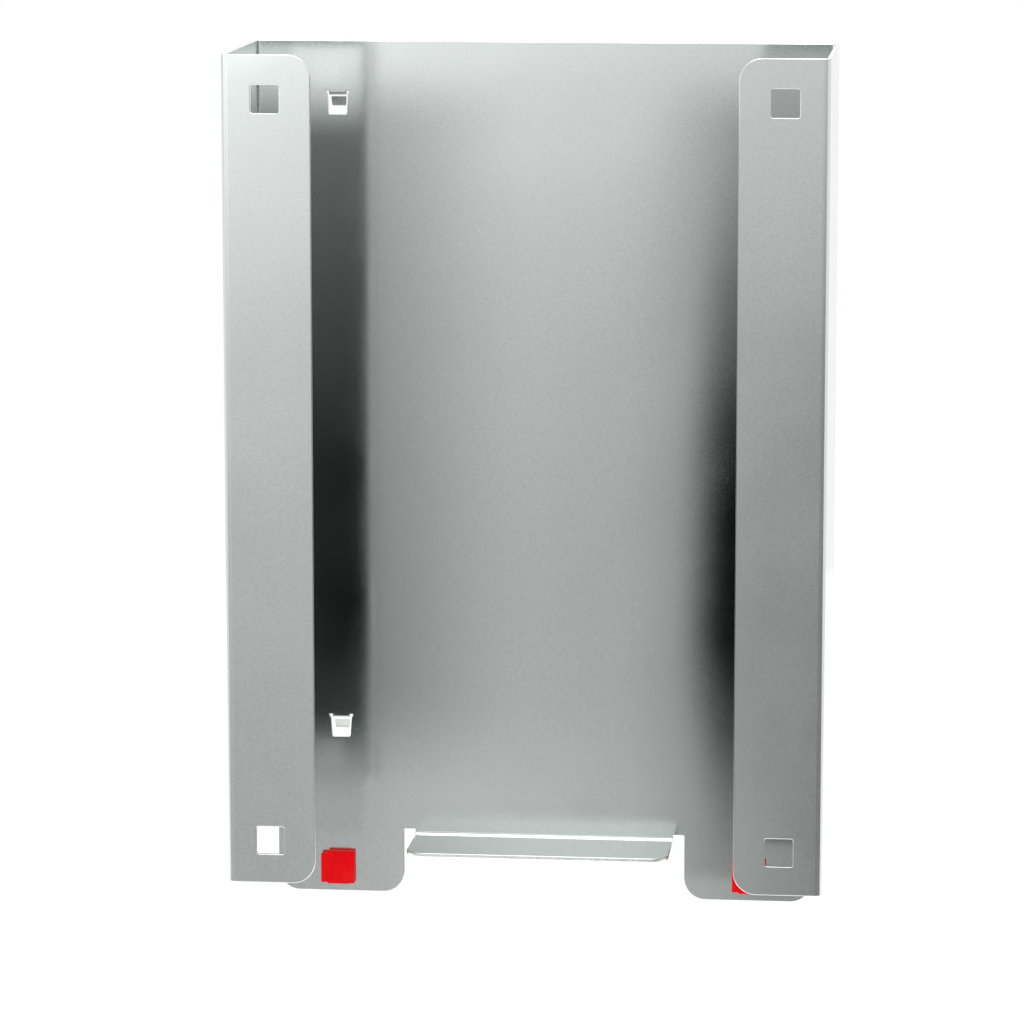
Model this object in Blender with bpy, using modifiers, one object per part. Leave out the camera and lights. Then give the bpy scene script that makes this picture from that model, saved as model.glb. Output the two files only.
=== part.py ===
"""Holder for a dispenser box, folded from one steel sheet, with two plastic locking clips.

The sheet is drawn as its flat blank, cut out with its holes and slits, and then folded
along its bend lines, as on a press brake. A back panel, two side walls and two front
flanges make a channel that a box drops into. A tongue at the bottom folds forward as the
shelf, and four lugs are pushed out to the rear, where they hang in the square holes of a
tool panel. Each leg carries one locking clip.

Metres, +Z up, the open front towards -Y. The origin is midway between the four lugs,
on the rear face of the back panel.
"""

import math

import bmesh
import bpy
from mathutils import Vector

# The sheet and its bends
SHEET = 0.0015
BEND_INSIDE = 0.0010
BEND_STEPS = 6
EDGE_ROUND = 0.0003

# The channel, outside sizes
WIDTH = 0.2095
DEPTH = 0.0755
BODY_HEIGHT = 0.2915
FLANGE_WIDTH = 0.0312
FLANGE_CORNER = 0.0080

# The square holes in the flanges
FLANGE_HOLE = 0.0098
FLANGE_HOLE_INSET = 0.0153
HOLE_CORNER = 0.0008

# The lugs and the windows that they are lanced from
LUG_INSET = 0.03025
LUG_ROWS = 0.2280
LUG_TOP_MARGIN = 0.0184
LUG_ROOT_WIDTH = 0.0065
LUG_TIP_WIDTH = 0.0054
LUG_LENGTH = 0.0073
LUG_CORNER = 0.0005
LUG_BEND_INSIDE = 0.0002
LUG_TIP_TURN = math.radians(78)
PANEL_GAP = 0.0013
KERF = 0.0005
LUG_RELIEF = 0.0004

# The shelf tongue and the slots beside it
TONGUE_WIDTH = 0.0949
TONGUE_REACH = 0.0304
TONGUE_CORNER = 0.0060
TONGUE_SLOT = 0.00385
SLOT_CORNER = 0.0005
RELIEF = 0.0005

# The two legs
LEG_SIDE_GAP = 0.00415
LEG_DROP = 0.0208
LEG_CORNER = 0.0080
WALL_RELIEF = 0.0010

# The locking clips
CLIP_INSET = 0.02925
CLIP_RISE = 0.0095
CLIP_HOLE = 0.0100
CLIP_CLEARANCE = 0.0003
CLIP_WIDTH = 0.0125
CLIP_HEIGHT = 0.0129
CLIP_PROUD = 0.0030
CLIP_RAMP_WIDTH = 0.0029
CLIP_RAMP_FALL = 0.0012
CLIP_LIP_WIDTH = 0.0024
CLIP_LIP_HEIGHT = 0.0108
CLIP_REACH = 0.0050
CLIP_SLOT = 0.0036
CLIP_NOSE = 0.0010
CLIP_EDGE = 0.0004
CLIP_OVERLAP = 0.0010

# How finely the curves are cut up
ARC_STEPS = 6
SHEET_EDGE_STEPS = 1
CLIP_EDGE_STEPS = 2
SAME_POINT = 1e-7
SMOOTH_ANGLE = math.radians(40)
SAME_PLANE = math.radians(0.5)

# Places that follow from the sizes
HALF_TURN = math.pi / 2
BEND_MIDDLE = BEND_INSIDE + SHEET / 2
BEND_OUTSIDE = BEND_INSIDE + SHEET
BEND_LENGTH = HALF_TURN * BEND_MIDDLE
BACK_HALF = WIDTH / 2 - BEND_OUTSIDE
WALL_FLAT = DEPTH - 2 * BEND_OUTSIDE
FLANGE_FLAT = FLANGE_WIDTH - BEND_OUTSIDE
WALL_START = BACK_HALF + BEND_LENGTH
WALL_END = WALL_START + WALL_FLAT
FLANGE_START = WALL_END + BEND_LENGTH
BLANK_HALF = FLANGE_START + FLANGE_FLAT

TOP = LUG_ROWS / 2 + LUG_TOP_MARGIN
BOTTOM = TOP - BODY_HEIGHT
LEG_BOTTOM = BOTTOM - LEG_DROP
TONGUE_HALF = TONGUE_WIDTH / 2
TONGUE_FOLD = BOTTOM + BEND_OUTSIDE
TONGUE_END = TONGUE_FOLD - BEND_LENGTH - (TONGUE_REACH - BEND_INSIDE)
LEG_INSIDE = TONGUE_HALF + TONGUE_SLOT
LEG_OUTSIDE = BACK_HALF - LEG_SIDE_GAP
SLOT_TOP = TONGUE_FOLD + RELIEF

LUG_BEND_MIDDLE = LUG_BEND_INSIDE + SHEET / 2
LUG_NECK = PANEL_GAP + SHEET / 2 - LUG_BEND_MIDDLE - LUG_BEND_INSIDE * math.sin(LUG_TIP_TURN)
LUG_SECOND_BEND = HALF_TURN * LUG_BEND_MIDDLE + LUG_NECK
LUG_X = WIDTH / 2 - LUG_INSET
LUG_ROOTS = [(x, z) for x in (-LUG_X, LUG_X) for z in (LUG_ROWS / 2, -LUG_ROWS / 2)]
CLIP_X = WIDTH / 2 - CLIP_INSET
CLIP_Z = LEG_BOTTOM + CLIP_RISE


def rounded(corners):
    """Points of a closed outline from (x, y, radius) corners, each radius as an arc."""
    points = []
    for index, (x, y, radius) in enumerate(corners):
        here = Vector((x, y))
        if not radius:
            points.append(here)
            continue
        before = (Vector(corners[index - 1][:2]) - here).normalized()
        after = (Vector(corners[(index + 1) % len(corners)][:2]) - here).normalized()
        half = before.angle(after) / 2
        centre = here + (before + after).normalized() * (radius / math.sin(half))
        start = here + before * (radius / math.tan(half)) - centre
        turn = start.angle_signed(here + after * (radius / math.tan(half)) - centre)
        for step in range(ARC_STEPS + 1):
            angle = -turn * step / ARC_STEPS
            points.append(centre + Vector((
                start.x * math.cos(angle) - start.y * math.sin(angle),
                start.x * math.sin(angle) + start.y * math.cos(angle),
            )))
    return points


def square_hole(x, y, side, corner):
    half = side / 2
    return rounded([(x - half, y - half, corner), (x + half, y - half, corner),
                    (x + half, y + half, corner), (x - half, y + half, corner)])


def blank_outline():
    """The outer cut of the blank: tongue, slots, legs, wall reliefs, flanges and top edge."""
    notch = WALL_START + WALL_RELIEF
    right = [
        (TONGUE_HALF, TONGUE_END, TONGUE_CORNER),
        (TONGUE_HALF, SLOT_TOP, 0),
        (LEG_INSIDE, SLOT_TOP, SLOT_CORNER),
        (LEG_INSIDE, LEG_BOTTOM, LEG_CORNER),
        (LEG_OUTSIDE, LEG_BOTTOM, LEG_CORNER),
        (LEG_OUTSIDE, SLOT_TOP, SLOT_CORNER),
        (notch, SLOT_TOP, SLOT_CORNER),
        (notch, BOTTOM, 0),
        (BLANK_HALF, BOTTOM, FLANGE_CORNER),
        (BLANK_HALF, TOP, FLANGE_CORNER),
    ]
    left = [(-x, y, radius) for x, y, radius in reversed(right)]
    return rounded(right + left)


def lug_slit(x, z):
    """The U-shaped cut that frees one lug, with a small relief at each end of its root."""
    root, tip = LUG_ROOT_WIDTH / 2, LUG_TIP_WIDTH / 2
    end = z - LUG_LENGTH
    ear = KERF + LUG_RELIEF
    right = [
        (x + tip + KERF, end - KERF, LUG_CORNER),
        (x + root + KERF, z - LUG_RELIEF, 0),
        (x + root + ear, z - LUG_RELIEF, 0),
        (x + root + ear, z + LUG_RELIEF, 0),
        (x + root, z + LUG_RELIEF, 0),
        (x + root, z, 0),
        (x + tip, end, LUG_CORNER),
    ]
    left = [(2 * x - px, pz, radius) for px, pz, radius in reversed(right)]
    return rounded(right + left)


def blank_mesh():
    """The flat blank with deburred edges. X and Y are its developed width and height,
    and Z runs through the sheet from the inside of the channel to the outside."""
    curve = bpy.data.curves.new("blank", "CURVE")
    curve.dimensions = "2D"
    curve.fill_mode = "BOTH"
    curve.extrude = SHEET / 2 - EDGE_ROUND
    curve.bevel_depth = EDGE_ROUND
    curve.bevel_resolution = SHEET_EDGE_STEPS
    curve.offset = -EDGE_ROUND
    flange_hole_x = BLANK_HALF - FLANGE_WIDTH + FLANGE_HOLE_INSET
    outlines = [blank_outline()]
    for side in (-1, 1):
        for z in (TOP - FLANGE_HOLE_INSET, BOTTOM + FLANGE_HOLE_INSET):
            outlines.append(square_hole(side * flange_hole_x, z, FLANGE_HOLE, HOLE_CORNER))
        outlines.append(square_hole(side * CLIP_X, CLIP_Z, CLIP_HOLE, HOLE_CORNER))
    outlines += [lug_slit(x, z) for x, z in LUG_ROOTS]
    for outline in outlines:
        spline = curve.splines.new("POLY")
        spline.points.add(len(outline) - 1)
        for point, place in zip(spline.points, outline):
            point.co = (place.x, place.y, 0, 1)
        spline.use_cyclic_u = True
    guide = bpy.data.objects.new("blank", curve)
    bpy.context.scene.collection.objects.link(guide)
    graph = bpy.context.evaluated_depsgraph_get()
    mesh = bpy.data.meshes.new_from_object(guide.evaluated_get(graph))
    bpy.data.objects.remove(guide)
    bpy.data.curves.remove(curve)
    return mesh


def on_lug(x, y):
    """The root (x, z) of the lug that a point of the blank lies on, or None."""
    for root_x, root_z in LUG_ROOTS:
        along = (root_z - y) / LUG_LENGTH
        half = (LUG_ROOT_WIDTH + (LUG_TIP_WIDTH - LUG_ROOT_WIDTH) * along + KERF) / 2
        if 0 < along < 1 + KERF / LUG_LENGTH / 2 and abs(x - root_x) < half:
            return root_x, root_z
    return None


def on_tongue(x, y):
    return y < TONGUE_FOLD and abs(x) < TONGUE_HALF + TONGUE_SLOT / 2


def cut_line(bm, place, normal, wanted):
    """Cuts a straight line of edges across the faces whose middles are wanted, as seams."""
    faces = [f for f in bm.faces if wanted(*f.calc_center_median().xy)]
    around = faces + list({e for f in faces for e in f.edges}) + list({v for f in faces for v in f.verts})
    cut = bmesh.ops.bisect_plane(bm, geom=around, plane_co=place, plane_no=normal, dist=SAME_POINT)
    for edge in cut["geom_cut"]:
        if isinstance(edge, bmesh.types.BMEdge):
            edge.seam = True


def cut_bend_lines(bm):
    """Edges along every bend, so that each bend folds in even steps."""
    steps = [step / BEND_STEPS for step in range(BEND_STEPS + 1)]
    for side in (-1, 1):
        for start in (BACK_HALF, WALL_END):
            for step in steps:
                x = side * (start + step * BEND_LENGTH)
                cut_line(bm, (x, 0, 0), (1, 0, 0), lambda px, py: True)
    for root in (TONGUE_FOLD, LUG_ROWS / 2, -LUG_ROWS / 2):
        cut_line(bm, (0, root, 0), (0, 1, 0), lambda px, py: abs(px) < BACK_HALF)
    for step in steps[1:]:
        cut_line(bm, (0, TONGUE_FOLD - step * BEND_LENGTH, 0), (0, 1, 0), on_tongue)
    for root_z in (LUG_ROWS / 2, -LUG_ROWS / 2):
        for step in steps:
            first = step * HALF_TURN * LUG_BEND_MIDDLE
            second = LUG_SECOND_BEND + step * LUG_TIP_TURN * LUG_BEND_MIDDLE
            for run in (first, second):
                cut_line(bm, (0, root_z - run, 0), (0, 1, 0), on_lug)


def bend(along, out, start, radius, turn=HALF_TURN):
    """Rolls the sheet past a start line round a bend, away from its out side.

    A point is (along the sheet, out from its middle), and radius is the middle's."""
    angle = min(max(along - start, 0) / radius, turn)
    past = max(along - start - radius * turn, 0)
    return (min(along, start) + (radius + out) * math.sin(angle) + past * math.cos(angle),
            (radius + out) * math.cos(angle) - radius - past * math.sin(angle))


def fold_side(x, out):
    """(x, y) on the channel: the flange bend first, then the bend at the back panel."""
    along, out = bend(abs(x), out, WALL_END, BEND_MIDDLE)
    along, out = bend(along, out, BACK_HALF, BEND_MIDDLE)
    return math.copysign(along, x), out - SHEET / 2


def fold_tongue(y, out):
    """(y, z) on the tongue, which bends forward to lie level with the foot of the walls."""
    along, out = bend(TONGUE_FOLD - y, out, 0, BEND_MIDDLE)
    return out - SHEET / 2, TONGUE_FOLD - along


def fold_lug(y, out, root_z):
    """(y, z) on a lug: its tip bends down, and then its neck bends to the rear."""
    along, out = bend(root_z - y, out, LUG_SECOND_BEND, LUG_BEND_MIDDLE, LUG_TIP_TURN)
    along, rear = bend(along, -out, 0, LUG_BEND_MIDDLE)
    return -rear - SHEET / 2, root_z - along


def folded(place):
    x, y, out = place
    root = on_lug(x, y)
    if root:
        return Vector((x, *fold_lug(y, out, root[1])))
    if on_tongue(x, y):
        return Vector((x, *fold_tongue(y, out)))
    return Vector((*fold_side(x, out), y))


def principled(name, color, metallic, roughness):
    material = bpy.data.materials.new(name)
    material.use_nodes = True
    shader = material.node_tree.nodes["Principled BSDF"]
    shader.inputs["Base Color"].default_value = (*color, 1)
    shader.inputs["Metallic"].default_value = metallic
    shader.inputs["Roughness"].default_value = roughness
    return material


def add_object(name, mesh, collection, material=None):
    thing = bpy.data.objects.new(name, mesh)
    collection.objects.link(thing)
    if material:
        mesh.materials.append(material)
    return thing


def make_sheet(collection):
    """The holder itself: the blank, cut at its bend lines and folded."""
    mesh = blank_mesh()
    bm = bmesh.new()
    bm.from_mesh(mesh)
    bmesh.ops.remove_doubles(bm, verts=bm.verts, dist=SAME_POINT)
    cut_bend_lines(bm)
    bmesh.ops.dissolve_limit(
        bm, angle_limit=SAME_PLANE, verts=bm.verts, edges=bm.edges, delimit={"SEAM"})
    for vert in bm.verts:
        vert.co = folded(vert.co)
    # The fold swaps two axes, which turns the blank's faces inside out.
    bmesh.ops.reverse_faces(bm, faces=bm.faces)
    bm.to_mesh(mesh)
    bm.free()
    mesh.name = "folded_sheet"
    steel = principled("satin steel", (0.56, 0.58, 0.57), 1.0, 0.32)
    sheet = add_object("folded_sheet", mesh, collection, steel)
    mesh.shade_smooth()
    mesh.set_sharp_from_angle(angle=SMOOTH_ANGLE)
    flat_faces_first = sheet.modifiers.new("Shading", "WEIGHTED_NORMAL")
    flat_faces_first.keep_sharp = True
    return sheet


def prism(name, outline, start, end):
    """A closed prism over a (y, z) outline, from start to end along X."""
    bm = bmesh.new()
    face = bm.faces.new([bm.verts.new((start, y, z)) for y, z in outline])
    raised = bmesh.ops.extrude_face_region(bm, geom=[face])["geom"]
    bmesh.ops.translate(
        bm, vec=(end - start, 0, 0), verts=[v for v in raised if isinstance(v, bmesh.types.BMVert)])
    return closed_mesh(name, bm)


def closed_mesh(name, bm):
    bmesh.ops.recalc_face_normals(bm, faces=bm.faces)
    mesh = bpy.data.meshes.new(name)
    bm.to_mesh(mesh)
    bm.free()
    return mesh


def clip_head():
    """The head: a square block with a notch at both left corners and a ramp down its right side."""
    right, tall, lip = CLIP_WIDTH / 2, CLIP_HEIGHT / 2, CLIP_LIP_HEIGHT / 2
    crease = right - CLIP_RAMP_WIDTH
    step = CLIP_LIP_WIDTH - right
    outline = [(-right, -lip), (step, -lip), (step, -tall), (crease, -tall), (right, -tall),
               (right, tall), (crease, tall), (step, tall), (step, lip), (-right, lip)]
    bm = bmesh.new()
    foot = [bm.verts.new((x, 0, z)) for x, z in outline]
    front = [bm.verts.new((x, CLIP_RAMP_FALL * (x == right) - CLIP_PROUD, z)) for x, z in outline]
    bm.faces.new(foot)
    bm.faces.new(front[:4] + front[6:])
    bm.faces.new(front[3:7])
    for index in range(len(outline)):
        bm.faces.new((foot[index - 1], foot[index], front[index], front[index - 1]))
    return closed_mesh("clip_head", bm)


def clip_shank():
    """The square peg behind the head, split into two prongs with bevelled noses."""
    half = CLIP_HOLE / 2 - CLIP_CLEARANCE
    fork = CLIP_CLEARANCE + SHEET
    end = fork + CLIP_REACH
    upper = [(fork, CLIP_SLOT / 2), (end, CLIP_SLOT / 2), (end, half - CLIP_NOSE),
             (end - CLIP_NOSE, half), (-CLIP_OVERLAP, half)]
    lower = [(y, -z) for y, z in reversed(upper)]
    return prism("clip_shank", upper + lower, -half, half)


def add_bevel(thing, width):
    bevel = thing.modifiers.new("Rounded edges", "BEVEL")
    bevel.width = width
    bevel.segments = CLIP_EDGE_STEPS
    bevel.limit_method = "ANGLE"
    bevel.angle_limit = SMOOTH_ANGLE


def make_clip(name, x, collection, helpers, material):
    """One locking clip. Its origin is where its slide axis crosses the foot of its head."""
    clip = add_object(name, clip_head(), collection, material)
    shank = add_object(f"{name}_shank", clip_shank(), helpers)
    shank.hide_render = True
    shank.display_type = "WIRE"
    for thing in (clip, shank):
        thing.location = (x, -SHEET - CLIP_CLEARANCE, CLIP_Z)
        add_bevel(thing, CLIP_EDGE)
    union = clip.modifiers.new("Shank", "BOOLEAN")
    union.operation = "UNION"
    union.solver = "EXACT"
    union.object = shank
    return clip


def build():
    for thing in list(bpy.data.objects):
        bpy.data.objects.remove(thing)
    scene = bpy.context.scene
    holder = bpy.data.collections.new("dispenser_box_holder")
    helpers = bpy.data.collections.new("helpers")
    scene.collection.children.link(holder)
    scene.collection.children.link(helpers)
    make_sheet(holder)
    red = principled("red plastic", (0.72, 0.01, 0.02), 0.0, 0.3)
    for name, side in (("clip_left", -1), ("clip_right", 1)):
        make_clip(name, side * CLIP_X, holder, helpers, red)
    helpers.hide_render = True


build()
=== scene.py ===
"""The looks of a dispenser box holder: one folded steel sheet and two red locking clips."""

import math

import bmesh
import bpy
from mathutils import Matrix, Vector


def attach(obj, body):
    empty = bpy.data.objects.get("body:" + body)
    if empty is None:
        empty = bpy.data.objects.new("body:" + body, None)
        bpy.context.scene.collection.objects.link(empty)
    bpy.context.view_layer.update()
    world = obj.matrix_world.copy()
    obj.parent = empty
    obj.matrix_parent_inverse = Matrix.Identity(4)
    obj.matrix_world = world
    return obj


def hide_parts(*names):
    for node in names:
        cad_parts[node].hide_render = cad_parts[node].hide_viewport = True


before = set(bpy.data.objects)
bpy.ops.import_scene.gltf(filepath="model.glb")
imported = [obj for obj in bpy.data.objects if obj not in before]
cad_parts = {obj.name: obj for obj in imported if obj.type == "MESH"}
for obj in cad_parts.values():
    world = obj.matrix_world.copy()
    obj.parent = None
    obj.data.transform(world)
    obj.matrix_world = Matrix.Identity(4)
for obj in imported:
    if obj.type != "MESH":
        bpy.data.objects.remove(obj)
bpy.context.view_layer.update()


# The holder itself. It is one blank of 1.5 mm steel sheet, cut with its holes and slits, deburred
# at every edge, and then folded along its bend lines on a press brake. Nothing is welded to it.
SHEET = 0.0015
EDGE_ROUND = 0.00035
ARC_STEPS = 12
BEND_STEPS = 12
SAME_POINT = 1e-7
SAME_PLANE = math.radians(0.5)

WIDTH = 0.2095
DEPTH = 0.0755
HEIGHT = 0.2915
FLANGE_WIDTH = 0.0312
FLANGE_CORNER = 0.0080
FLANGE_HOLE = 0.0098
FLANGE_HOLE_INSET = 0.0153
HOLE_CORNER = 0.0008

QUARTER = math.pi / 2
BEND_INSIDE = 0.0010
BEND_MIDDLE = BEND_INSIDE + SHEET / 2
BEND_OUTSIDE = BEND_INSIDE + SHEET
BEND_LENGTH = QUARTER * BEND_MIDDLE
BACK_HALF = WIDTH / 2 - BEND_OUTSIDE
WALL_FLAT = DEPTH - 2 * BEND_OUTSIDE
WALL_END = BACK_HALF + BEND_LENGTH + WALL_FLAT
BLANK_HALF = WALL_END + BEND_LENGTH + FLANGE_WIDTH - BEND_OUTSIDE

LUG_COLUMNS = 0.1490
LUG_ROWS = 0.2280
LUG_TOP_MARGIN = 0.0184
LUG_ROOT_WIDTH = 0.0065
LUG_TIP_WIDTH = 0.0054
LUG_LENGTH = 0.0073
LUG_CORNER = 0.0005
LUG_RELIEF = 0.0004
KERF = 0.0005
LUG_TIP_TURN = math.radians(78)
LUG_BEND_INSIDE = 0.0002
LUG_BEND_MIDDLE = LUG_BEND_INSIDE + SHEET / 2
TOOL_PANEL_GAP = 0.0013
LUG_NECK = (TOOL_PANEL_GAP + SHEET / 2 - LUG_BEND_MIDDLE
            - LUG_BEND_INSIDE * math.sin(LUG_TIP_TURN))
LUG_SECOND_BEND = QUARTER * LUG_BEND_MIDDLE + LUG_NECK

TOP = LUG_ROWS / 2 + LUG_TOP_MARGIN
BOTTOM = TOP - HEIGHT
TONGUE_HALF = 0.0949 / 2
TONGUE_FLAT = 0.0294
TONGUE_CORNER = 0.0060
TONGUE_FOLD = BOTTOM + BEND_OUTSIDE
TONGUE_END = TONGUE_FOLD - BEND_LENGTH - TONGUE_FLAT
TONGUE_SLOT = 0.00385
SLOT_RELIEF = 0.0005
SLOT_CORNER = 0.0005
SLOT_TOP = TONGUE_FOLD + SLOT_RELIEF
WALL_RELIEF = 0.0010
LEG_WIDTH = 0.0468
LEG_DROP = 0.0208
LEG_CORNER = 0.0080
LEG_INSIDE = TONGUE_HALF + TONGUE_SLOT
LEG_OUTSIDE = LEG_INSIDE + LEG_WIDTH
LEG_BOTTOM = BOTTOM - LEG_DROP

CLIP_COLUMNS = 0.1510
CLIP_DROP = 0.0564
CLIP_Z = -LUG_ROWS / 2 - CLIP_DROP
CLIP_HOLE = 0.0100


def arcs(corners):
    """The outline through (x, y, radius) corners, with each corner as a fine arc."""
    points = []
    for index, (x, y, radius) in enumerate(corners):
        here = Vector((x, y))
        if not radius:
            points.append(here)
            continue
        before = (Vector(corners[index - 1][:2]) - here).normalized()
        after = (Vector(corners[(index + 1) % len(corners)][:2]) - here).normalized()
        half = before.angle(after) / 2
        centre = here + (before + after).normalized() * (radius / math.sin(half))
        start = here + before * (radius / math.tan(half)) - centre
        turn = start.angle_signed(here + after * (radius / math.tan(half)) - centre)
        for step in range(ARC_STEPS + 1):
            spin = Matrix.Rotation(-turn * step / ARC_STEPS, 2)
            points.append(centre + spin @ start)
    return points


def square_hole(x, y, side):
    half = side / 2
    return arcs([(x - half, y - half, HOLE_CORNER), (x + half, y - half, HOLE_CORNER),
                 (x + half, y + half, HOLE_CORNER), (x - half, y + half, HOLE_CORNER)])


def mirrored(right, middle=0.0):
    """The outline whose right half is given, with its left half the same the other way round."""
    return arcs(right + [(2 * middle - x, y, radius) for x, y, radius in reversed(right)])


def lug_slit(x, z):
    """The cut round three sides of a lug, with a small relief at each end of its root."""
    root, tip, end = LUG_ROOT_WIDTH / 2, LUG_TIP_WIDTH / 2, z - LUG_LENGTH
    ear = KERF + LUG_RELIEF
    return mirrored([
        (x + tip + KERF, end - KERF, LUG_CORNER), (x + root + KERF, z - LUG_RELIEF, 0),
        (x + root + ear, z - LUG_RELIEF, 0), (x + root + ear, z + LUG_RELIEF, 0),
        (x + root, z + LUG_RELIEF, 0), (x + root, z, 0), (x + tip, end, LUG_CORNER)], x)


notch = BACK_HALF + BEND_LENGTH + WALL_RELIEF
cuts = [mirrored([
    (TONGUE_HALF, TONGUE_END, TONGUE_CORNER), (TONGUE_HALF, SLOT_TOP, 0),
    (LEG_INSIDE, SLOT_TOP, SLOT_CORNER), (LEG_INSIDE, LEG_BOTTOM, LEG_CORNER),
    (LEG_OUTSIDE, LEG_BOTTOM, LEG_CORNER), (LEG_OUTSIDE, SLOT_TOP, SLOT_CORNER),
    (notch, SLOT_TOP, SLOT_CORNER), (notch, BOTTOM, 0),
    (BLANK_HALF, BOTTOM, FLANGE_CORNER), (BLANK_HALF, TOP, FLANGE_CORNER)])]
for side in (-1, 1):
    hole_x = side * (BLANK_HALF - FLANGE_WIDTH + FLANGE_HOLE_INSET)
    for z in (TOP - FLANGE_HOLE_INSET, BOTTOM + FLANGE_HOLE_INSET):
        cuts.append(square_hole(hole_x, z, FLANGE_HOLE))
    cuts.append(square_hole(side * CLIP_COLUMNS / 2, CLIP_Z, CLIP_HOLE))
    cuts += [lug_slit(side * LUG_COLUMNS / 2, z) for z in (LUG_ROWS / 2, -LUG_ROWS / 2)]

blank_curve = bpy.data.curves.new("steel_blank", "CURVE")
blank_curve.dimensions = "2D"
blank_curve.fill_mode = "BOTH"
blank_curve.extrude = SHEET / 2 - EDGE_ROUND
blank_curve.bevel_depth = EDGE_ROUND
blank_curve.bevel_resolution = 2
blank_curve.offset = -EDGE_ROUND
for cut in cuts:
    spline = blank_curve.splines.new("POLY")
    spline.points.add(len(cut) - 1)
    for point, place in zip(spline.points, cut):
        point.co = (place.x, place.y, 0, 1)
    spline.use_cyclic_u = True
blank = bpy.data.objects.new("steel_blank", blank_curve)
bpy.context.scene.collection.objects.link(blank)
blank_mesh = bpy.data.meshes.new_from_object(
    blank.evaluated_get(bpy.context.evaluated_depsgraph_get()))
bpy.data.objects.remove(blank)

# The flaps of the blank, each of which folds in its own way.
CHANNEL, TONGUE, LUG = 0, 1, 2


def flap_at(x, y):
    """The flap of the blank that a place lies on."""
    down = LUG_ROWS / 2 - y if y > 0 else -LUG_ROWS / 2 - y
    along = down / LUG_LENGTH
    half = (LUG_ROOT_WIDTH + (LUG_TIP_WIDTH - LUG_ROOT_WIDTH) * along + KERF) / 2
    if 0 < along < 1 + KERF / LUG_LENGTH / 2 and abs(abs(x) - LUG_COLUMNS / 2) < half:
        return LUG
    return TONGUE if y < TONGUE_FOLD and abs(x) < TONGUE_HALF + TONGUE_SLOT / 2 else CHANNEL


def score(bm, place, normal, wanted):
    """Scores a line across the faces whose middles are wanted, for the sheet to fold along."""
    faces = [f for f in bm.faces if wanted(*f.calc_center_median().xy)]
    around = (faces + list({e for f in faces for e in f.edges})
              + list({v for f in faces for v in f.verts}))
    cut = bmesh.ops.bisect_plane(
        bm, geom=around, plane_co=place, plane_no=normal, dist=SAME_POINT)
    for edge in cut["geom_cut"]:
        if isinstance(edge, bmesh.types.BMEdge):
            edge.seam = True


# Every bend line is scored across the flat blank, so that it folds in fine even steps.
bm = bmesh.new()
bm.from_mesh(blank_mesh)
bmesh.ops.remove_doubles(bm, verts=bm.verts, dist=SAME_POINT)
for step in range(BEND_STEPS + 1):
    part = step / BEND_STEPS
    for start in (BACK_HALF, WALL_END):
        for side in (-1, 1):
            score(bm, (side * (start + part * BEND_LENGTH), 0, 0), (1, 0, 0), lambda x, y: True)
    score(bm, (0, TONGUE_FOLD - part * BEND_LENGTH, 0), (0, 1, 0),
          lambda x, y: abs(x) < (TONGUE_HALF + TONGUE_SLOT / 2 if part else BACK_HALF))
    for root in (LUG_ROWS / 2, -LUG_ROWS / 2):
        if not part:
            score(bm, (0, root, 0), (0, 1, 0), lambda x, y: abs(x) < BACK_HALF)
        for run in (part * QUARTER * LUG_BEND_MIDDLE,
                    LUG_SECOND_BEND + part * LUG_TIP_TURN * LUG_BEND_MIDDLE):
            score(bm, (0, root - run, 0), (0, 1, 0), lambda x, y: flap_at(x, y) == LUG)
bmesh.ops.dissolve_limit(
    bm, angle_limit=SAME_PLANE, verts=bm.verts, edges=bm.edges, delimit={"SEAM"})
flap = bm.verts.layers.int.new("flap")
for vert in bm.verts:
    vert[flap] = flap_at(vert.co.x, vert.co.y)
# The sheet's faces lie flat in the blank, and its edges don't. The lugs count as edge all over,
# which gives them its paler finish.
FLAT = 0.9
cut_edge = bm.faces.layers.int.new("cut_edge")
for face in bm.faces:
    face.smooth = True
    face[cut_edge] = abs(face.normal.z) < FLAT or all(vert[flap] == LUG for vert in face.verts)
bm.to_mesh(blank_mesh)
bm.free()


def add(tree, kind, *values, **settings):
    """Adds one node with its settings. Values go to its inputs in order, or by name or number
    in a dict. A node among them is linked by its first output, and a socket as it is."""
    node = tree.nodes.new(kind)
    for key, value in settings.items():
        setattr(node, key, value)
    named = values[0] if values and isinstance(values[0], dict) else dict(enumerate(values))
    for key, value in named.items():
        if isinstance(value, bpy.types.Node):
            value = value.outputs[0]
        if isinstance(value, bpy.types.NodeSocket):
            tree.links.new(value, node.inputs[key])
        else:
            node.inputs[key].default_value = value
    return node


def tree_with(name, inputs, outputs):
    """A node group with named inputs and outputs: (tree, its input sockets, its output node)."""
    tree = bpy.data.node_groups.new(name, "GeometryNodeTree")
    for sockets, way in ((inputs, "INPUT"), (outputs, "OUTPUT")):
        for label, kind in sockets:
            tree.interface.new_socket(label, in_out=way, socket_type=kind)
    return tree, add(tree, "NodeGroupInput").outputs, add(tree, "NodeGroupOutput")


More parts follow.
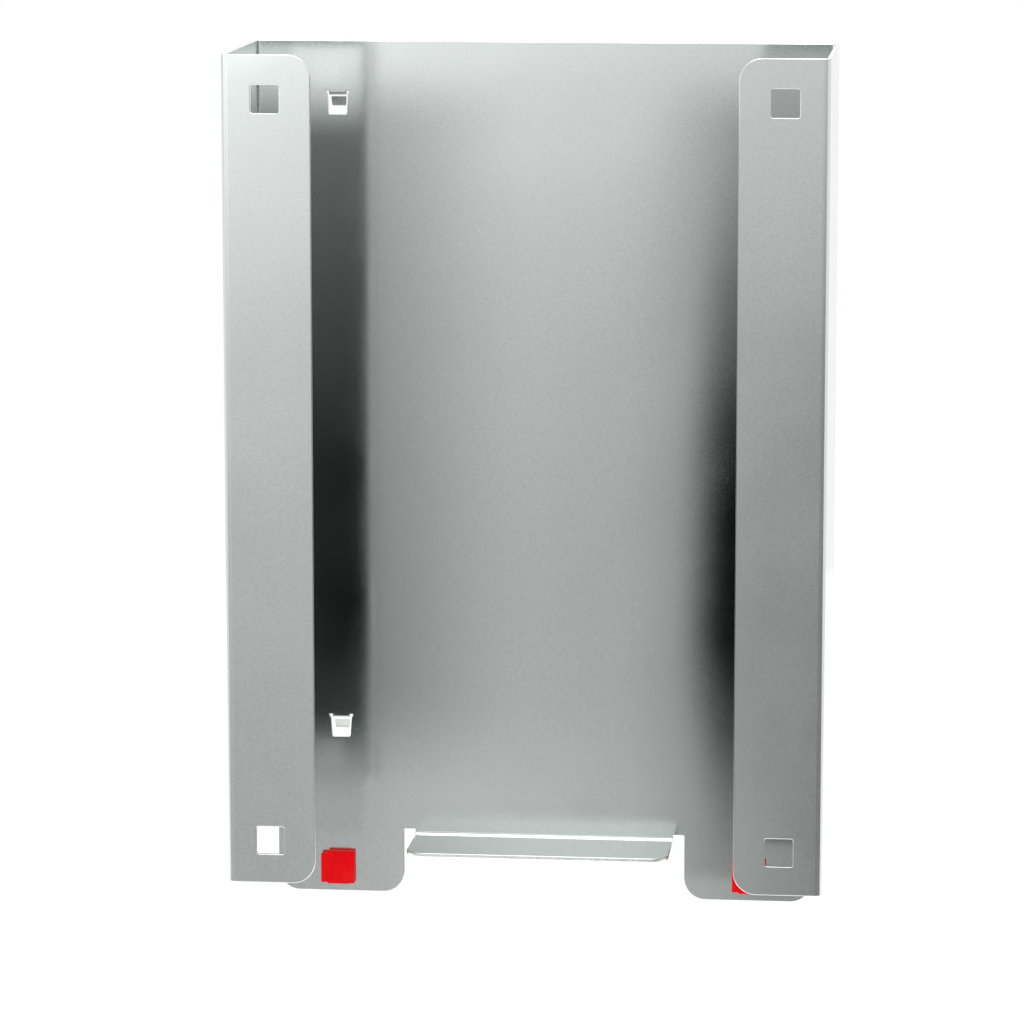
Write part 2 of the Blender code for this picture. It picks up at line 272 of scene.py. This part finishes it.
# One bend: it rolls the sheet past a start line round a radius, away from its out side.
# Along runs along the sheet, and Out is the distance from its middle.
FLOAT = "NodeSocketFloat"
MATH = "ShaderNodeMath"
one_bend, given, made = tree_with(
    "one bend", [(n, FLOAT) for n in ("Along", "Out", "Start", "Radius", "Turn")],
    [("Along", FLOAT), ("Out", FLOAT)])
over = add(one_bend, MATH, given["Along"], given["Start"], operation="SUBTRACT")
angle = add(one_bend, MATH, over, given["Radius"], operation="DIVIDE")
angle = add(one_bend, MATH, angle, 0.0, operation="MAXIMUM")
angle = add(one_bend, MATH, angle, given["Turn"], operation="MINIMUM")
sine, cosine = (add(one_bend, MATH, angle, operation=way) for way in ("SINE", "COSINE"))
bent = add(one_bend, MATH, given["Radius"], given["Turn"], operation="MULTIPLY")
past = add(one_bend, MATH, over, bent, operation="SUBTRACT")
past = add(one_bend, MATH, past, 0.0, operation="MAXIMUM")
reach = add(one_bend, MATH, given["Radius"], given["Out"], operation="ADD")
# Along: the flat before the bend, plus reach times sine, plus what is past it times cosine.
along = add(one_bend, MATH, given["Along"], given["Start"], operation="MINIMUM")
along = add(one_bend, MATH, past, cosine, along, operation="MULTIPLY_ADD")
along = add(one_bend, MATH, reach, sine, along, operation="MULTIPLY_ADD")
one_bend.links.new(along.outputs[0], made.inputs["Along"])
# Out: reach times cosine, less what is past the bend times sine, less the radius.
dropped = add(one_bend, MATH, past, sine, given["Radius"], operation="MULTIPLY_ADD")
out = add(one_bend, MATH, reach, cosine, operation="MULTIPLY")
out = add(one_bend, MATH, out, dropped, operation="SUBTRACT")
one_bend.links.new(out.outputs[0], made.inputs["Out"])

# The whole fold: the side walls and flanges, the tongue, and the four lugs.
GROUP = "GeometryNodeGroup"
XYZ = "ShaderNodeCombineXYZ"
fold, given, made = tree_with(
    "fold the blank",
    [("Geometry", "NodeSocketGeometry"), ("Sheet", FLOAT), ("Bend radius", FLOAT),
     ("Back half", FLOAT), ("Wall end", FLOAT), ("Tongue fold", FLOAT),
     ("Lug rows half", FLOAT), ("Lug bend radius", FLOAT), ("Lug second bend", FLOAT),
     ("Lug tip turn", FLOAT), ("Material", "NodeSocketMaterial"),
     ("Edge material", "NodeSocketMaterial")],
    [("Geometry", "NodeSocketGeometry")])
x, y, out = add(fold, "ShaderNodeSeparateXYZ", add(fold, "GeometryNodeInputPosition")).outputs
half_sheet = add(fold, MATH, given["Sheet"], 0.5, operation="MULTIPLY")

# The channel: the flange's bend comes first, and then the bend at the back panel.
aside = add(fold, MATH, x, operation="ABSOLUTE")
flange = add(fold, GROUP, aside, out, given["Wall end"], given["Bend radius"], QUARTER,
             node_tree=one_bend).outputs
wall = add(fold, GROUP, flange[0], flange[1], given["Back half"], given["Bend radius"], QUARTER,
           node_tree=one_bend).outputs
hand = add(fold, MATH, x, operation="SIGN")
channel = add(fold, XYZ, add(fold, MATH, wall[0], hand, operation="MULTIPLY"),
              add(fold, MATH, wall[1], half_sheet, operation="SUBTRACT"), y)

# The tongue: one bend forward.
below = add(fold, MATH, given["Tongue fold"], y, operation="SUBTRACT")
shelf = add(fold, GROUP, below, out, 0.0, given["Bend radius"], QUARTER,
            node_tree=one_bend).outputs
tongue = add(fold, XYZ, x, add(fold, MATH, shelf[1], half_sheet, operation="SUBTRACT"),
             add(fold, MATH, given["Tongue fold"], shelf[0], operation="SUBTRACT"))

# A lug: its tip turns down, and then its neck bends to the rear, the other way.
root = add(fold, MATH, add(fold, MATH, y, operation="SIGN"), given["Lug rows half"],
           operation="MULTIPLY")
below = add(fold, MATH, root, y, operation="SUBTRACT")
tip = add(fold, GROUP, below, out, given["Lug second bend"], given["Lug bend radius"],
          given["Lug tip turn"], node_tree=one_bend).outputs
other_side = add(fold, MATH, tip[1], -1.0, operation="MULTIPLY")
neck = add(fold, GROUP, tip[0], other_side, 0.0, given["Lug bend radius"], QUARTER,
           node_tree=one_bend).outputs
rear = add(fold, MATH, neck[1], -1.0, operation="MULTIPLY")
lug = add(fold, XYZ, x, add(fold, MATH, rear, half_sheet, operation="SUBTRACT"),
          add(fold, MATH, root, neck[0], operation="SUBTRACT"))

which = add(fold, "GeometryNodeInputNamedAttribute", {"Name": "flap"}, data_type="INT")
place = channel
for number, folded in ((TONGUE, tongue), (LUG, lug)):
    here = add(fold, "FunctionNodeCompare", {2: which, 3: number}, data_type="INT",
               operation="EQUAL")
    place = add(fold, "GeometryNodeSwitch", here, place, folded, input_type="VECTOR")
moved = add(fold, "GeometryNodeSetPosition", {"Geometry": given["Geometry"], "Position": place})
# The fold swaps two axes, which turns the faces inside out, so they are turned back.
turned = add(fold, "GeometryNodeFlipFaces", moved)
real = add(fold, "GeometryNodeRealizeInstances", turned)
faced = add(fold, "GeometryNodeSetMaterial", {0: real, "Material": given["Material"]})
rim = add(fold, "GeometryNodeInputNamedAttribute", {"Name": "cut_edge"}, data_type="INT")
rim = add(fold, "FunctionNodeCompare", {2: rim, 3: 1}, data_type="INT", operation="EQUAL")
edged = add(fold, "GeometryNodeSetMaterial", {
    0: faced, "Selection": rim, "Material": given["Edge material"]})
fold.links.new(edged.outputs[0], made.inputs[0])


def hex_color(text):
    """A linear colour from an sRGB hex value."""
    parts = [int(text[i:i + 2], 16) / 255 for i in (1, 3, 5)]
    return tuple(c / 12.92 if c <= 0.04045 else ((c + 0.055) / 1.055) ** 2.4
                 for c in parts) + (1.0,)


def material(name):
    """A new material, and its tree, its Principled shader and its Object coordinates."""
    made = bpy.data.materials.new(name)
    made.use_nodes = True
    tree = made.node_tree
    spot = add(tree, "ShaderNodeTexCoord").outputs["Object"]
    return made, tree, tree.nodes["Principled BSDF"], spot


# Cold-rolled steel sheet with a thin bright zinc plating. It gives the eye a cool, slightly
# green-grey metal that mirrors like a dull mirror, with a fine grain and a few pale specks.
NOISE = "ShaderNodeTexNoise"
RANGE = "ShaderNodeMapRange"
MIX = "ShaderNodeMix"
BUMP = "ShaderNodeBump"
steel, tree, shader, spot = material("bright zinc-plated steel")
shader.inputs["Metallic"].default_value = 1.0
# The plating's grain is about 0.3 mm, drawn at 0.6 mm so that it shows.
grain = add(tree, NOISE, {"Vector": spot, "Scale": 1700.0, "Detail": 2.0})
# How matt the plating is differs in clouds about 30 mm across.
cloud = add(tree, NOISE, {"Vector": spot, "Scale": 33.0, "Detail": 3.0})
# Pale specks, at most 0.6 mm across and about 5 mm apart.
speck = add(tree, "ShaderNodeTexVoronoi", {"Vector": spot, "Scale": 210.0})
tone = add(tree, MIX, {0: add(tree, RANGE, grain, 0.35, 0.65),
                       6: hex_color("#D4DAD8"), 7: hex_color("#DADFDD")}, data_type="RGBA")
tone = add(tree, MIX, {0: add(tree, RANGE, speck, 0.02, 0.06, 0.5, 0.0),
                       6: tone.outputs[2], 7: hex_color("#F2F4F3")}, data_type="RGBA")
tree.links.new(tone.outputs[2], shader.inputs["Base Color"])
matt = add(tree, MATH, add(tree, RANGE, grain, 0.3, 0.7, -0.015, 0.015),
           add(tree, RANGE, cloud, 0.3, 0.7, 0.11, 0.15), operation="ADD")
tree.links.new(matt.outputs[0], shader.inputs["Roughness"])
# Rolling and folding leave it a little wavy: 0.2 mm high, 70 mm across.
wavy = add(tree, NOISE, {"Vector": spot, "Scale": 14.0, "Detail": 1.0})
waves = add(tree, BUMP, {"Strength": 1.0, "Distance": 0.0002, "Height": wavy})
grained = add(tree, BUMP, {
    "Strength": 1.0, "Distance": 0.000003, "Height": grain, "Normal": waves})
tree.links.new(grained.outputs[0], shader.inputs["Normal"])

# The cut edges are plated over the marks of the cutting and deburring. They give the eye a
# paler, more matt line round every hole and rim. The marks are about 0.4 mm.
edge_steel, tree, shader, spot = material("deburred zinc-plated edge")
shader.inputs["Metallic"].default_value = 1.0
marks = add(tree, NOISE, {"Vector": spot, "Scale": 2400.0, "Detail": 2.0})
tone = add(tree, MIX, {0: add(tree, RANGE, marks, 0.35, 0.65),
                       6: hex_color("#DDE1DF"), 7: hex_color("#EDF0EE")}, data_type="RGBA")
tree.links.new(tone.outputs[2], shader.inputs["Base Color"])
matt = add(tree, RANGE, marks, 0.3, 0.7, 0.26, 0.36)
tree.links.new(matt.outputs[0], shader.inputs["Roughness"])
marked = add(tree, BUMP, {"Strength": 1.0, "Distance": 0.000005, "Height": marks})
tree.links.new(marked.outputs[0], shader.inputs["Normal"])


def give_inputs(modifier, values):
    """Sets a Geometry Nodes modifier's inputs by their names."""
    for socket in modifier.node_group.interface.items_tree:
        if socket.in_out == "INPUT" and socket.name in values:
            modifier[socket.identifier] = values[socket.name]


def made_plain(thing):
    """Turns what the modifiers make into the object's own mesh."""
    bpy.context.view_layer.update()
    result = bpy.data.meshes.new_from_object(
        thing.evaluated_get(bpy.context.evaluated_depsgraph_get()))
    thing.modifiers.clear()
    thing.data = result
    result.name = thing.name


holder_sheet = bpy.data.objects.new("holder_sheet", blank_mesh)
bpy.context.scene.collection.objects.link(holder_sheet)
folding = holder_sheet.modifiers.new("Fold", "NODES")
folding.node_group = fold
give_inputs(folding, {
    "Sheet": SHEET, "Bend radius": BEND_MIDDLE, "Back half": BACK_HALF, "Wall end": WALL_END,
    "Tongue fold": TONGUE_FOLD, "Lug rows half": LUG_ROWS / 2,
    "Lug bend radius": LUG_BEND_MIDDLE, "Lug second bend": LUG_SECOND_BEND,
    "Lug tip turn": LUG_TIP_TURN, "Material": steel, "Edge material": edge_steel})
shading = holder_sheet.modifiers.new("Shading", "WEIGHTED_NORMAL")
shading.keep_sharp = True
made_plain(holder_sheet)
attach(holder_sheet, "holder")
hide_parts("folded_sheet")


# The two locking clips. Each is moulded in red plastic in one piece: a square head with notched
# left corners and a ramp on its right, low grip ribs, and a split peg that snaps into the leg.
CLIP_WIDTH = 0.0122
CLIP_HEIGHT = 0.0122
CLIP_PROUD = 0.0030
# The head stands this far left of the peg's middle, which makes up for some of the camera's
# misfit.
HEAD_SHIFT = 0.0003
HEAD_ROUND = 0.0004
RAMP_WIDTH = 0.0029
RAMP_FALL = 0.0012
LIP_WIDTH = 0.0024
LIP_TOP = 0.0052
LIP_BOTTOM = -0.0056
PEG_GAP = 0.0003
PEG_HALF = CLIP_HOLE / 2 - PEG_GAP
PEG_START = PEG_GAP + SHEET
PEG_END = PEG_START + 0.0050
PEG_SLOT = 0.0036
PEG_NOSE = 0.001
PEG_OVERLAP = 0.001
PEG_ROUND = 0.0003
RIB_COUNT = 5
RIB_PITCH = 0.0012
RIB_FIRST = -0.0042
RIB_Z = -0.0029
RIB_HALF_HEIGHT = 0.0021
RIB_HALF_WIDTH = 0.0002
RIB_PROUD = 0.00016
RIB_SUNK = 0.0002
RIB_ROUND = 0.0001
ROUNDED_ANGLE = math.radians(12)
SHARP_ANGLE = math.radians(30)

# Glossy ABS, moulded. It gives the eye a saturated signal red with a faint soft shine on its
# rounded edges. Its skin is barely uneven, at 1 mm, and its colour flows a little, at 5 mm.
plastic, tree, shader, spot = material("moulded red ABS")
skin = add(tree, NOISE, {"Vector": spot, "Scale": 900.0, "Detail": 2.0})
flow = add(tree, NOISE, {"Vector": spot, "Scale": 180.0, "Detail": 1.0})
tone = add(tree, MIX, {0: add(tree, RANGE, flow, 0.35, 0.65),
                       6: hex_color("#F4000E"), 7: hex_color("#FC0210")}, data_type="RGBA")
tree.links.new(tone.outputs[2], shader.inputs["Base Color"])
matt = add(tree, RANGE, skin, 0.3, 0.7, 0.20, 0.28)
tree.links.new(matt.outputs[0], shader.inputs["Roughness"])
shader.inputs["IOR"].default_value = 1.53
shader.inputs["Specular IOR Level"].default_value = 0.12
uneven = add(tree, BUMP, {"Strength": 1.0, "Distance": 0.000006, "Height": skin})
tree.links.new(uneven.outputs[0], shader.inputs["Normal"])

# The grip ribs: a row of small upright bars, stood on the head's face one beside the other.
ribs, given, made = tree_with("row of grip ribs", [
    ("Rib", "NodeSocketGeometry"), ("Count", "NodeSocketInt"), ("First", "NodeSocketVector"),
    ("Step", "NodeSocketVector"), ("Material", "NodeSocketMaterial")],
    [("Geometry", "NodeSocketGeometry")])
line = add(ribs, "GeometryNodeMeshLine", {
    "Count": given["Count"], "Start Location": given["First"], "Offset": given["Step"]})
stood = add(ribs, "GeometryNodeInstanceOnPoints", {"Points": line, "Instance": given["Rib"]})
real = add(ribs, "GeometryNodeRealizeInstances", stood)
faced = add(ribs, "GeometryNodeSetMaterial", {0: real, "Material": given["Material"]})
ribs.links.new(faced.outputs[0], made.inputs[0])


def object_of(name, bm):
    """A new object in the scene, of a bmesh that is done."""
    mesh = bpy.data.meshes.new(name)
    bm.to_mesh(mesh)
    bm.free()
    thing = bpy.data.objects.new(name, mesh)
    bpy.context.scene.collection.objects.link(thing)
    return thing


def moulded(name, bm, width):
    """An object of a closed mesh with its edges rounded as a mould leaves them."""
    bmesh.ops.recalc_face_normals(bm, faces=bm.faces)
    bmesh.ops.bevel(bm, geom=[e for e in bm.edges if e.calc_face_angle(0) > ROUNDED_ANGLE],
                    offset=width, segments=4, profile=0.5, affect="EDGES", clamp_overlap=True)
    return object_of(name, bm)


def drawn_out(outline, half_width):
    """A bmesh prism over a (y, z) outline, as far to the left of the middle as to the right."""
    bm = bmesh.new()
    face = bm.faces.new([bm.verts.new((-half_width, y, z)) for y, z in outline])
    raised = bmesh.ops.extrude_face_region(bm, geom=[face])["geom"]
    bmesh.ops.translate(bm, vec=(2 * half_width, 0, 0),
                        verts=[v for v in raised if isinstance(v, bmesh.types.BMVert)])
    return bm


left_edge = CLIP_WIDTH / 2 + HEAD_SHIFT
right_edge = CLIP_WIDTH / 2 - HEAD_SHIFT
tall = CLIP_HEIGHT / 2
crease, step = right_edge - RAMP_WIDTH, LIP_WIDTH - left_edge
head_outline = [
    (-left_edge, LIP_BOTTOM), (step, LIP_BOTTOM), (step, -tall), (crease, -tall),
    (right_edge, -tall), (right_edge, tall), (crease, tall), (step, tall), (step, LIP_TOP),
    (-left_edge, LIP_TOP)]
prong = [(PEG_START, PEG_SLOT / 2), (PEG_END, PEG_SLOT / 2), (PEG_END, PEG_HALF - PEG_NOSE),
         (PEG_END - PEG_NOSE, PEG_HALF), (-PEG_OVERLAP, PEG_HALF)]
rib_outline = [(RIB_SUNK, -RIB_HALF_HEIGHT), (RIB_SUNK, RIB_HALF_HEIGHT),
               (-RIB_PROUD, RIB_HALF_HEIGHT), (-RIB_PROUD, -RIB_HALF_HEIGHT)]
for name, side in (("left", -1), ("right", 1)):
    head = bmesh.new()
    foot = [head.verts.new((x, 0, z)) for x, z in head_outline]
    front = [head.verts.new((x, RAMP_FALL * (x == right_edge) - CLIP_PROUD, z))
             for x, z in head_outline]
    head.faces.new(foot)
    head.faces.new(front[:4] + front[6:])
    head.faces.new(front[3:7])
    for index in range(len(head_outline)):
        head.faces.new((foot[index - 1], foot[index], front[index], front[index - 1]))
    clip = moulded(f"locking_clip_{name}", head, HEAD_ROUND)
    whole_peg = prong + [(y, -z) for y, z in reversed(prong)]
    peg = moulded("peg", drawn_out(whole_peg, PEG_HALF), PEG_ROUND)
    row = moulded("grip_rib", drawn_out(rib_outline, RIB_HALF_WIDTH), RIB_ROUND)
    stand = row.modifiers.new("Row", "NODES")
    stand.node_group = ribs
    give_inputs(stand, {"Count": RIB_COUNT, "First": (RIB_FIRST, -CLIP_PROUD, RIB_Z),
                        "Step": (RIB_PITCH, 0, 0), "Material": plastic})
    made_plain(row)
    for helper in (peg, row):
        union = clip.modifiers.new(helper.name, "BOOLEAN")
        union.operation = "UNION"
        union.object = helper
    made_plain(clip)
    for helper in (peg, row):
        bpy.data.objects.remove(helper)
    clip.data.transform(Matrix.Translation(
        (side * CLIP_COLUMNS / 2, -SHEET - PEG_GAP, CLIP_Z)))
    clip.data.materials.clear()
    clip.data.materials.append(plastic)
    clip.data.shade_smooth()
    clip.data.set_sharp_from_angle(angle=SHARP_ANGLE)
    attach(clip, f"{name}_clip")
    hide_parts(f"clip_{name}")


# The studio floor: white paper well under the holder, which hangs free as in the photograph.
# It looks white to the camera and in mirrors. Seen from below it lets the view through.
FLOOR_RADIUS = 1.5
FLOOR_PLACE = (0, 0.7, -0.45)
floor_bm = bmesh.new()
bmesh.ops.create_circle(floor_bm, cap_ends=True, segments=96, radius=FLOOR_RADIUS)
bmesh.ops.translate(floor_bm, vec=FLOOR_PLACE, verts=floor_bm.verts)
floor = object_of("studio_floor", floor_bm)
paper, tree, shader, spot = material("matt white paper")
shader.inputs["Roughness"].default_value = 0.9
seen = add(tree, "ShaderNodeLightPath").outputs
looked_at = add(tree, MATH, seen["Is Camera Ray"], seen["Is Glossy Ray"], operation="MAXIMUM")
looked_at = add(tree, MATH, looked_at, seen["Is Transmission Ray"], operation="MAXIMUM")
white = add(tree, MIX, {0: looked_at, 6: hex_color("#F2F2F2"), 7: (1.12, 1.12, 1.12, 1.0)},
            data_type="RGBA")
tree.links.new(white.outputs[2], shader.inputs["Base Color"])
below = add(tree, "ShaderNodeNewGeometry").outputs["Backfacing"]
one_way = add(tree, "ShaderNodeMixShader", below, shader, add(tree, "ShaderNodeBsdfTransparent"))
tree.links.new(one_way.outputs[0], tree.nodes["Material Output"].inputs["Surface"])
floor.data.materials.append(paper)

# Soft white light from all round, as in a light tent.
world = bpy.data.worlds.new("white light tent")
bpy.context.scene.world = world
world.use_nodes = True
cloth = world.node_tree.nodes["Background"].inputs
cloth["Color"].default_value = hex_color("#FFFFFF")
cloth["Strength"].default_value = 1.0


def hang(bm, middle, half_width, half_height):
    """Adds an upright rectangle that faces the front, by its middle and half sizes."""
    corners = bmesh.ops.create_grid(bm, x_segments=1, y_segments=1, size=1.0)["verts"]
    x, y, z = middle
    bmesh.ops.transform(bm, verts=corners, matrix=Matrix((
        (half_width, 0, 0, x), (0, 0, 0, y), (0, half_height, 0, z), (0, 0, 0, 1))))


# The front of the tent: a large screen behind the camera, with a wing at each side that comes
# forward. It is white above, and grey towards its foot and its right side. The metal mirrors it,
# and the camera doesn't see it. Its shades were measured and matched to the photograph.
SOFT = {"interpolation_type": "SMOOTHSTEP"}
SCREEN_MIDDLE = (0, -3.0, -0.5)
SCREEN_HALF_WIDTH = 3.0
SCREEN_HALF_HEIGHT = 0.8
SCREEN_WING = 2.2
screen_bm = bmesh.new()
hang(screen_bm, SCREEN_MIDDLE, SCREEN_HALF_WIDTH, SCREEN_HALF_HEIGHT)
ends = [edge for edge in screen_bm.edges if edge.verts[0].co.x == edge.verts[1].co.x]
wings = bmesh.ops.extrude_edge_only(screen_bm, edges=ends)["geom"]
bmesh.ops.translate(screen_bm, vec=(0, SCREEN_WING, 0),
                    verts=[part for part in wings if isinstance(part, bmesh.types.BMVert)])
screen = object_of("front_screen", screen_bm)
glow, tree, shader, spot = material("lit grey screen")
wide, _, high = add(tree, "ShaderNodeSeparateXYZ", spot).outputs
# It darkens downwards and to the right, most of all at the lower right.
rise = add(tree, MATH, add(tree, MATH, high, 0.30, operation="DIVIDE"), operation="EXPONENT")
rise = add(tree, MATH, rise, 0.87, 0.32, operation="MULTIPLY_ADD")
rise = add(tree, MATH, rise, 1.1, operation="MINIMUM")
level = add(tree, MATH, rise, add(tree, RANGE, wide, 0.005, -0.845, 0.765, 1.537),
            operation="MULTIPLY")
lower_right = add(tree, MATH, add(tree, RANGE, wide, -0.20, -0.06, **SOFT),
                  add(tree, RANGE, high, -0.28, -0.46, **SOFT), operation="MULTIPLY")
darker = add(tree, MATH, lower_right, -0.13, 1.0, operation="MULTIPLY_ADD")
level = add(tree, MATH, level, darker, operation="MULTIPLY")
# A patch left of its middle gets paler downwards, and is palest in one low band.
patch = add(tree, MATH, add(tree, RANGE, wide, -0.565, -0.405, **SOFT),
            add(tree, RANGE, wide, -0.025, -0.145, **SOFT), operation="MULTIPLY")
lifted = add(tree, MATH, patch, add(tree, RANGE, high, -0.234, -0.834, 0.0, 0.4), 1.0,
             operation="MULTIPLY_ADD")
foot = add(tree, MATH, add(tree, RANGE, high, -0.76, -0.86, **SOFT),
           add(tree, RANGE, high, -1.03, -0.93, **SOFT), operation="MULTIPLY")
middle = add(tree, MATH, add(tree, RANGE, wide, -0.47, -0.37, **SOFT),
             add(tree, RANGE, wide, -0.045, -0.125, **SOFT), operation="MULTIPLY")
band = add(tree, MATH, foot, middle, operation="MULTIPLY")
lifted = add(tree, MATH, band, 0.62, lifted, operation="MULTIPLY_ADD")
emission = add(tree, "ShaderNodeEmission", {
    "Strength": add(tree, MATH, level, lifted, operation="MULTIPLY")})
tree.links.new(emission.outputs[0], tree.nodes["Material Output"].inputs["Surface"])
screen.data.materials.append(glow)
screen.visible_camera = False

# Painted shade: a see-through black veil stands right before the gap between the flanges, in two
# soft halves side by side. It takes light from both sides of the back panel, most of it beside the
# right flange, as painted shade there. The camera sees past it.
SHADE_VEIL_MIDDLE = (0, -0.079, -0.020)
SHADE_VEIL_HALF_WIDTH = 0.0725
SHADE_VEIL_HALF_HEIGHT = 0.170
shade_veil_bm = bmesh.new()
hang(shade_veil_bm, SHADE_VEIL_MIDDLE, SHADE_VEIL_HALF_WIDTH, SHADE_VEIL_HALF_HEIGHT)
shade_veil = object_of("painted_shade_veil", shade_veil_bm)
# Its material is a see-through black, which paints shade on what the back panel mirrors.
shade_veil_material, tree, shader, spot = material("painted black shade")
wide, _, high = add(tree, "ShaderNodeSeparateXYZ", spot).outputs
# The left half of the painted shade thins out upwards, downwards and to the right, with more down
# its left edge.
upper = add(tree, RANGE, high, 0.123, 0.095, **SOFT)
tall = add(tree, MATH, upper, add(tree, RANGE, high, -0.166, -0.116, **SOFT),
           operation="MULTIPLY")
left = add(tree, MATH, tall, add(tree, RANGE, wide, -0.083, -0.007, 0.47, 0.0, **SOFT),
           operation="MULTIPLY")
left = add(tree, MATH, 1.0, left, operation="SUBTRACT")
shade_edge = add(tree, MATH, add(tree, RANGE, wide, -0.0710, -0.0722, **SOFT),
          add(tree, RANGE, high, -0.158, -0.150, **SOFT), operation="MULTIPLY")
left = add(tree, MATH, left, add(tree, MATH, shade_edge, -0.8, 1.0, operation="MULTIPLY_ADD"),
           operation="MULTIPLY")
# The right half of the painted shade thickens to the right.
right = add(tree, MATH, upper, add(tree, RANGE, wide, 0.018, 0.107, 0.0, 0.8, **SOFT),
            operation="MULTIPLY")
right = add(tree, MATH, 1.0, right, operation="SUBTRACT")
# The darkest painted shade, beside the right flange, is an upright lens, longer above its middle
# than below.
beside = add(tree, RANGE, wide, 0.0404, 0.0648, -1.0, 0.0)
along = add(tree, MATH, add(tree, RANGE, high, -0.085, 0.108),
            add(tree, RANGE, high, -0.085, -0.190), operation="MAXIMUM")
darkest_shade = add(tree, MATH, beside, beside, add(tree, MATH, along, along, operation="MULTIPLY"),
           operation="MULTIPLY_ADD")
darkest_shade = add(tree, MATH, darkest_shade, operation="SQRT")
through = add(tree, MATH, left, right, operation="MULTIPLY")
through = add(tree, MATH, through, add(tree, RANGE, darkest_shade, 0.18, 1.0, **SOFT),
              operation="MULTIPLY")
veil = add(tree, "ShaderNodeBsdfTransparent", {"Color": through})
tree.links.new(veil.outputs[0], tree.nodes["Material Output"].inputs["Surface"])
shade_veil.data.materials.append(shade_veil_material)
shade_veil.visible_camera = False

# A strip of painted light and shade stands close behind each flange: it glows in places and lets
# only part of the light through. Through the mirror of the back panel the left one gives the dark
# band on the left its paler ends, and the right one tones the flange's holes. They stand for light
# that goes to and fro between the panel and the flanges.
STRIP_X = 0.0898
STRIP_Y = -0.0738
STRIP_Z = -0.0245
STRIP_HALF_WIDTH = 0.0143
STRIP_HALF_HEIGHT = 0.1505
CLEAR_RIGHT = 0.4
painted_bounce_bm = bmesh.new()
for strip_x in (-STRIP_X, STRIP_X):
    hang(painted_bounce_bm, (strip_x, STRIP_Y, STRIP_Z), STRIP_HALF_WIDTH, STRIP_HALF_HEIGHT)
strips = object_of("painted_bounce_strips", painted_bounce_bm)
painted_bounce_material, tree, shader, spot = material("painted bounce light and shade")
wide, _, high = add(tree, "ShaderNodeSeparateXYZ", spot).outputs
right_hand = add(tree, RANGE, wide, -0.01, 0.01)
# The left strip's painted light glows at its mouth and its sole, where it is least clear, and
# faintly above its middle. What it holds back is painted shade.
mouth = add(tree, RANGE, high, 0.090, 0.126, **SOFT)
sole = add(tree, RANGE, high, -0.126, -0.166, **SOFT)
body = add(tree, MATH, add(tree, RANGE, high, -0.050, 0.126), 1.6, operation="POWER")
body = add(tree, MATH, body, 0.13, operation="MULTIPLY")
glow_left = add(tree, MATH, sole, 0.46, body, operation="MULTIPLY_ADD")
glow_left = add(tree, MATH, mouth, 0.95, glow_left, operation="MULTIPLY_ADD")
open_part = add(tree, MATH, add(tree, MATH, mouth, sole, operation="ADD"), -0.9, 1.0,
                operation="MULTIPLY_ADD")
clear_left = add(tree, MATH, add(tree, RANGE, high, -0.105, -0.060, 0.48, 0.7, **SOFT),
                 open_part, operation="MULTIPLY")
# The right strip glows with painted light in its upper part, and is as clear all over; what it
# holds back is painted shade.
glow_right = add(tree, MATH, add(tree, RANGE, high, 0.05, 0.11, **SOFT), 0.34,
                 operation="MULTIPLY")
sides = []
for glow, clear in ((glow_left, clear_left), (glow_right, (CLEAR_RIGHT,) * 3 + (1.0,))):
    sides.append(add(tree, "ShaderNodeAddShader",
                     add(tree, "ShaderNodeEmission", {"Strength": glow}),
                     add(tree, "ShaderNodeBsdfTransparent", {"Color": clear})))
mixing = add(tree, "ShaderNodeMixShader", right_hand, *sides)
tree.links.new(mixing.outputs[0], tree.nodes["Material Output"].inputs["Surface"])
strips.data.materials.append(painted_bounce_material)
strips.visible_camera = False

# A small soft lamp box above the holder, for the bright lines on its upper rims.
LAMP_HALF = 0.5
LAMP_ABOVE = 1.0
LAMP_GLOW = 4.0
lamp_bm = bmesh.new()
bmesh.ops.create_grid(lamp_bm, x_segments=1, y_segments=1, size=LAMP_HALF)
bmesh.ops.translate(lamp_bm, vec=(0, 0, LAMP_ABOVE), verts=lamp_bm.verts)
lamp = object_of("lamp_box", lamp_bm)
glow, tree, shader, spot = material("lamp box cloth")
emission = add(tree, "ShaderNodeEmission", {"Strength": LAMP_GLOW})
tree.links.new(emission.outputs[0], tree.nodes["Material Output"].inputs["Surface"])
lamp.data.materials.append(glow)
lamp.visible_camera = False

# The camera stands at the front, a little to the right and above, and looks down at the middle.
# Its values come from a fit to the holder's edges in the photograph: the turns in radians, and
# the holder's origin as seen from the camera, right, down and forward, in millimetres.
SENSOR = 36.0
PHOTO_PIXELS = 1024
FOCAL_PIXELS = 4801.295
TURN_Z, TURN_X, TURN_Y = 0.00007, 0.16542, 0.10549
ORIGIN_SEEN = Vector((11.8268, -36.9606, 1731.7849))
camera = bpy.data.cameras.new("camera")
camera.sensor_width = SENSOR
camera.lens = FOCAL_PIXELS / PHOTO_PIXELS * SENSOR
camera.clip_end = 100.0
viewer = bpy.data.objects.new("camera", camera)
bpy.context.scene.collection.objects.link(viewer)
tilt = (Matrix.Rotation(TURN_Z, 3, "Z") @ Matrix.Rotation(TURN_X, 3, "X")
        @ Matrix.Rotation(TURN_Y, 3, "Y"))
spot_mm = -(tilt.transposed() @ ORIGIN_SEEN)
stand_point = Vector((spot_mm[0], spot_mm[2], -spot_mm[1])) / 1000
right, down, forward = (Vector((row[0], row[2], -row[1])) for row in tilt)
viewer.matrix_world = Matrix.Translation(stand_point) @ Matrix(
    (right, -down, -forward)).transposed().to_4x4()
bpy.context.scene.camera = viewer
bpy.context.scene.view_settings.view_transform = "Standard"
